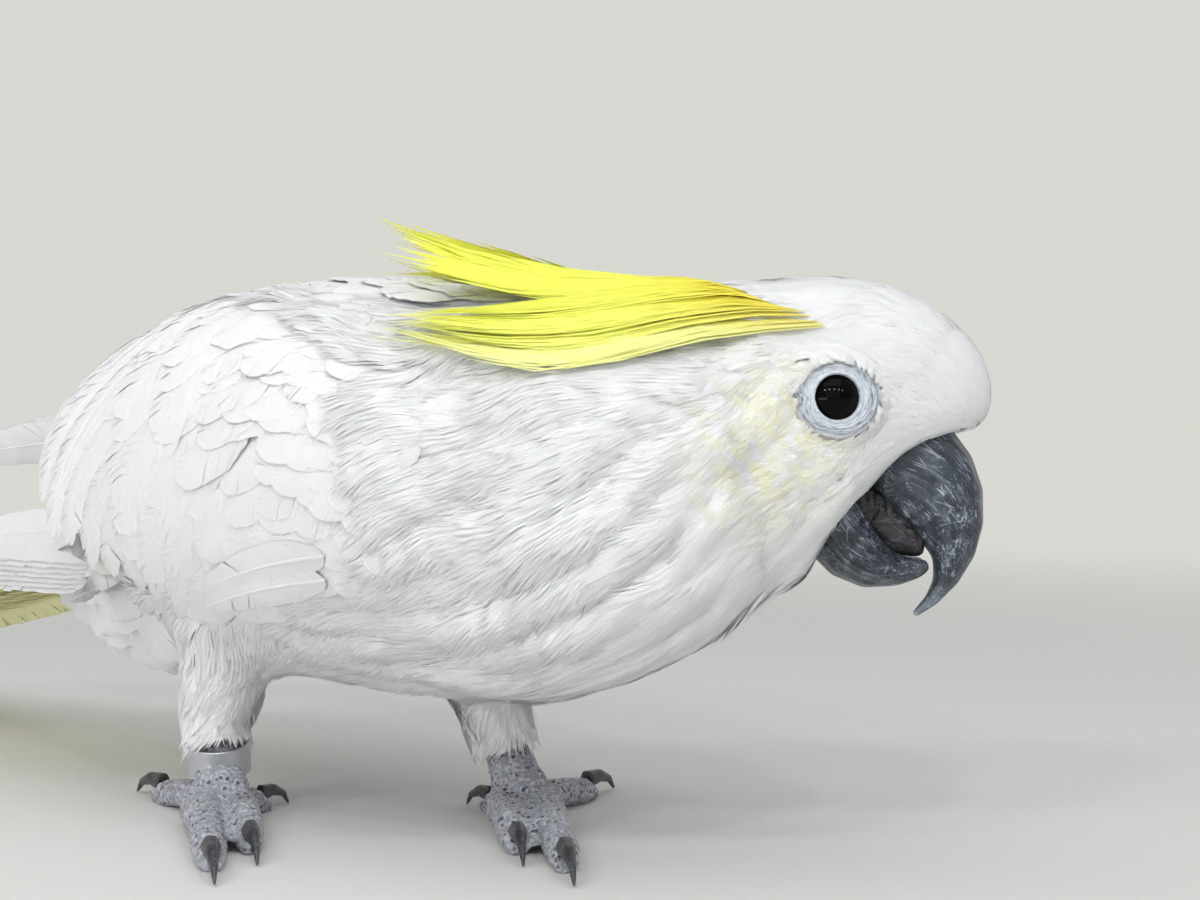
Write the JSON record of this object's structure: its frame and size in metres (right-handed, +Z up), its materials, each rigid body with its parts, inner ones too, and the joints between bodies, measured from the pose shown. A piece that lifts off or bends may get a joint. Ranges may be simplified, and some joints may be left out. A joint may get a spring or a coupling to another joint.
{
  "type": "cockatoo model",
  "caption": "White cockatoo as a still life-size model: it stands low with its head level in profile, bill parted and yellow crest laid back over the nape",
  "frame": {"origin": "on the floor, under the middle of the bounding box", "axes": "+Z up, +X the way the head points, +Y towards the left side of the head; the tail points to -X +Y"},
  "size_m": [0.3716, 0.2918, 0.1461],
  "materials": {
    "feather_white": "soft white plumage with a faint silky sheen",
    "crest_yellow": "bright lemon-yellow feathers, golden at their roots",
    "horn_grey": "charcoal horn with a pale powdery bloom and fine scratches",
    "tongue_black": "dry, wrinkled, nearly black",
    "claw_grey": "dark grey horn, worn satin",
    "foot_skin": "lilac-grey skin of small raised scales with pale furrows",
    "eye_black": "wet gloss black",
    "eye_skin": "pale blue-white bare skin in fine rings of wrinkles",
    "ring_metal": "dull, worn pale grey"
  },
  "bodies": {
    "root": {"bill_upper": "horn_grey", "bill_lower": "horn_grey", "tongue": "tongue_black", "head": "feather_white", "neck": "feather_white", "trunk": "feather_white", "eye_right": "eye_black", "eye_ring_right": "eye_skin", "eye_left": "eye_black", "eye_ring_left": "eye_skin", "wing_right": "feather_white", "primaries_right": "feather_white", "wing_left": "feather_white", "primaries_left": "feather_white", "crest": "crest_yellow", "tail": "feather_white", "thigh_right": "feather_white", "tarsus_right": "foot_skin", "leg_ring": "ring_metal", "toe_right_1": "foot_skin", "claw_right_1": "claw_grey", "toe_right_2": "foot_skin", "claw_right_2": "claw_grey", "toe_right_3": "foot_skin", "claw_right_3": "claw_grey", "toe_right_4": "foot_skin", "claw_right_4": "claw_grey", "thigh_left": "feather_white", "tarsus_left": "foot_skin", "toe_left_1": "foot_skin", "claw_left_1": "claw_grey", "toe_left_2": "foot_skin", "claw_left_2": "claw_grey", "toe_left_3": "foot_skin", "claw_left_3": "claw_grey", "toe_left_4": "foot_skin", "claw_left_4": "claw_grey"}
  },
  "joints": []
}
